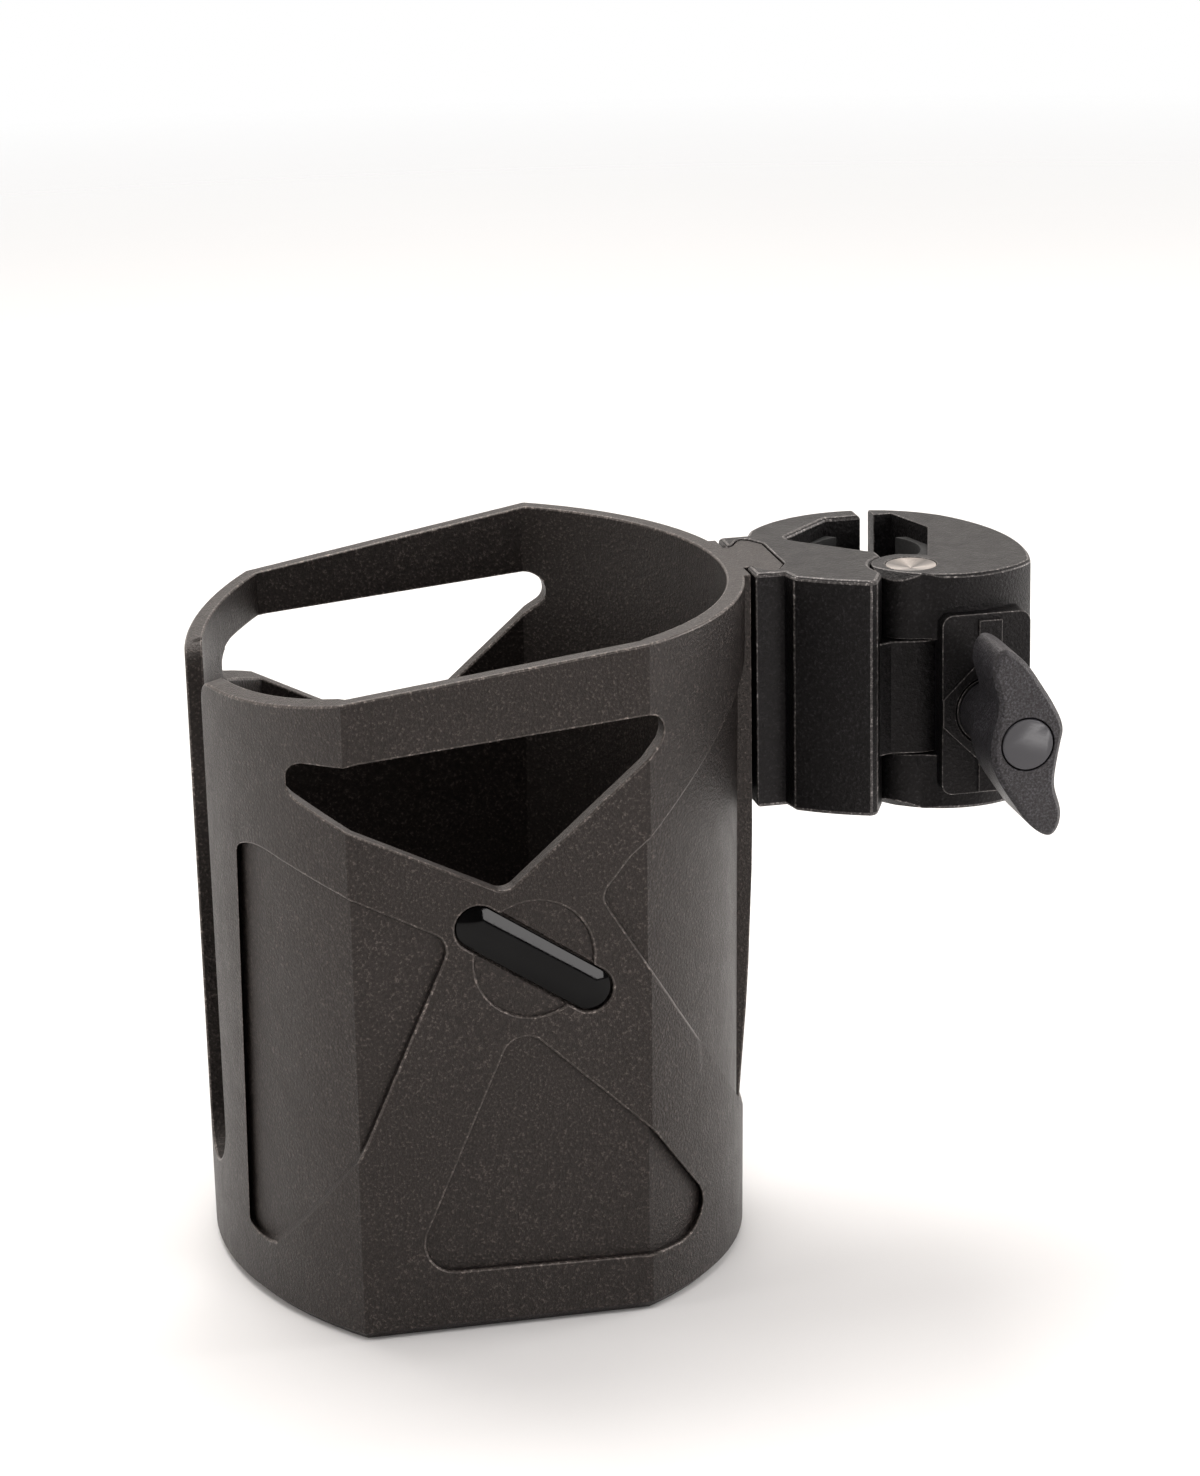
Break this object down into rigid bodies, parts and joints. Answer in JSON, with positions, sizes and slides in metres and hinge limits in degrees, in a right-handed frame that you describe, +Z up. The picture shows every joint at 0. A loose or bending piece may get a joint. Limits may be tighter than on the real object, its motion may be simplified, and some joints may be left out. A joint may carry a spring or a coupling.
{
  "type": "tube clamp cup holder",
  "caption": "Open cup holder with a handle slot and three-cornered windows, hung by a T-rail on a hinged tube clamp that a wing knob tightens.",
  "frame": {"origin": "on the axis of the clamped tube, at the middle of the clamp's height", "axes": "+Z up along the tube; the cup stands towards -X; the wing knob, the hinge pin and the badge face -Y"},
  "size_m": [0.1481, 0.0992, 0.1206],
  "materials": {
    "cup_plastic": "fine moulded grain",
    "clamp_plastic": "fine moulded grain",
    "badge_gloss": "gloss",
    "pad_rubber": "matt",
    "pin_steel": "bright",
    "screw_steel": "zinc plated",
    "cap_plastic": "smooth satin"
  },
  "bodies": {
    "clamp": {"clamp_body": "clamp_plastic", "v_pad_front": "pad_rubber", "v_pad_rear": "pad_rubber"},
    "cup": {"cup_shell": "cup_plastic", "badge": "badge_gloss"},
    "jaw": {"clamp_jaw": "clamp_plastic", "jaw_pad_upper": "pad_rubber", "jaw_pad_lower": "pad_rubber", "hinge_pin": "pin_steel", "hinge_pin_clip": "screw_steel"},
    "knob": {"wing_knob": "clamp_plastic", "knob_cap": "cap_plastic", "clamp_screw": "screw_steel", "thrust_washer": "clamp_plastic"},
    "nut": {"nut_saddle": "clamp_plastic", "clamp_nut": "screw_steel"}
  },
  "joints": [
    {"name": "cup_lift", "type": "slide", "parent": "clamp", "child": "cup", "axis": [0, 0, 1], "range_m": [0, 0.046]},
    {"name": "jaw_swing", "type": "hinge", "parent": "clamp", "child": "jaw", "pos_m": [0.0016, -0.0234, 0], "axis": [0, 0, -1], "range_deg": [0, 45]},
    {"name": "knob_turn", "type": "hinge", "parent": "jaw", "child": "knob", "pos_m": [0.0126, -0.045, -0.0021], "axis": [0, -1, 0], "range_deg": [0, 1350]},
    {"name": "nut_travel", "type": "slide", "parent": "jaw", "child": "nut", "axis": [0, 1, 0], "range_m": [0, 0.003]}
  ],
  "couplings": [
    {"joint": "nut_travel", "follows": "knob_turn", "m_per_rad": 0.00012732}
  ]
}
